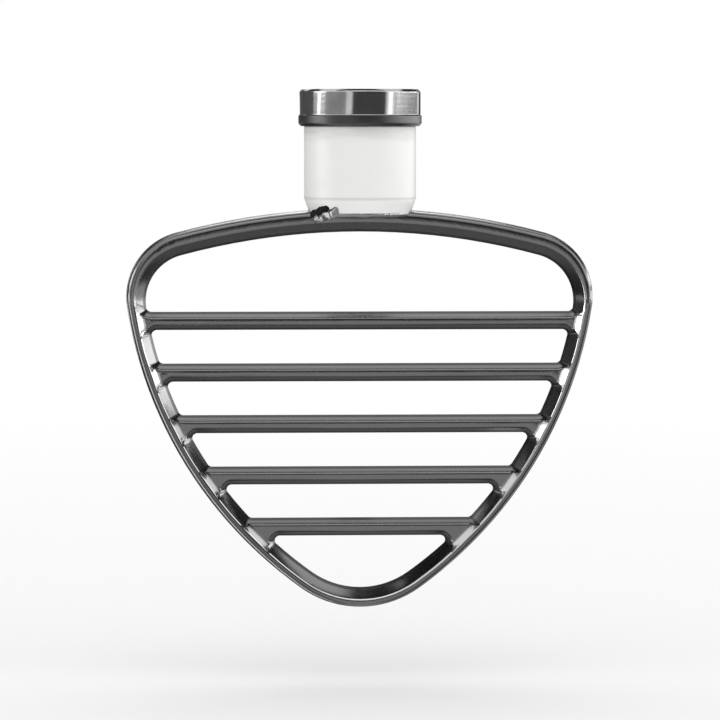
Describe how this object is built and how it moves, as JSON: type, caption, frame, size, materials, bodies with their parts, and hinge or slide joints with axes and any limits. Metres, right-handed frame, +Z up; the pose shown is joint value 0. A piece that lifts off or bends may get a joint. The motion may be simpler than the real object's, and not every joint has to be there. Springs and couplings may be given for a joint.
{
  "type": "pastry beater",
  "caption": "Shield-shaped steel pastry beater with level cutting bars, a pale round hub bored for a drive shaft and a polished collar round its mouth.",
  "frame": {"origin": "on the bore's axis at its mouth, level with the top of the collar", "axes": "+Z up along the bore, out of its mouth; X along the cutting bars; -Y is the face that the picture shows, and the pin slot is at +Y"},
  "size_m": [0.1364, 0.0356, 0.1517],
  "materials": {
    "frame_steel": "dark satin cast steel",
    "hub_white": "off-white satin coat",
    "collar_steel": "polished steel"
  },
  "bodies": {
    "root": {"frame": "frame_steel", "hub": "hub_white", "collar": "collar_steel"}
  },
  "joints": []
}
